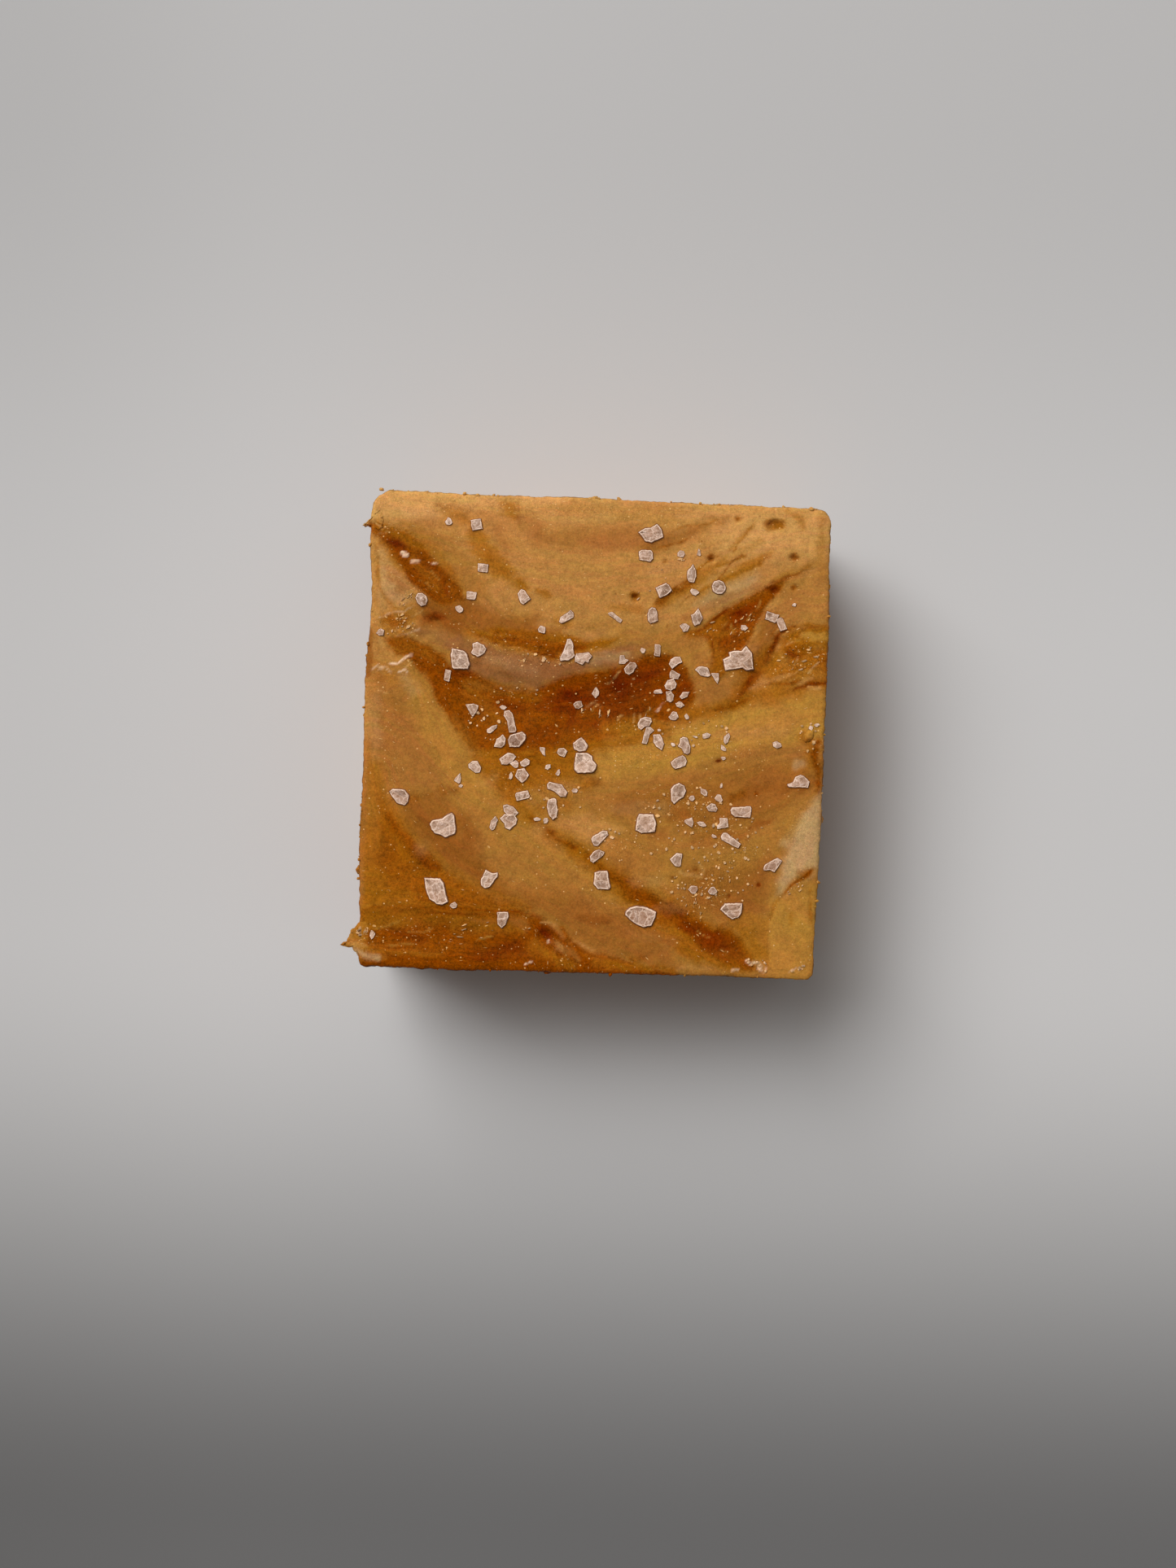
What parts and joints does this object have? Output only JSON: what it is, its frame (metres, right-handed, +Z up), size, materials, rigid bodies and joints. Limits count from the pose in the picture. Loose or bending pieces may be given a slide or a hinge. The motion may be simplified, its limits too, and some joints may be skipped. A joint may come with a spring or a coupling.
{
  "type": "piece of fudge",
  "caption": "Knife-cut square of caramel swirl fudge, soft-rimmed, with coarse salt crystals pressed into its marbled top; lies flat on its base.",
  "frame": {"origin": "middle of the flat base that the piece rests on", "axes": "+Z up through the salted top, X across the square and Y along its slightly longer side"},
  "size_m": [0.0403, 0.0401, 0.0198],
  "materials": {
    "fudge": "satin",
    "salt": "gloss"
  },
  "bodies": {
    "root": {"fudge": "fudge"}
  },
  "joints": []
}
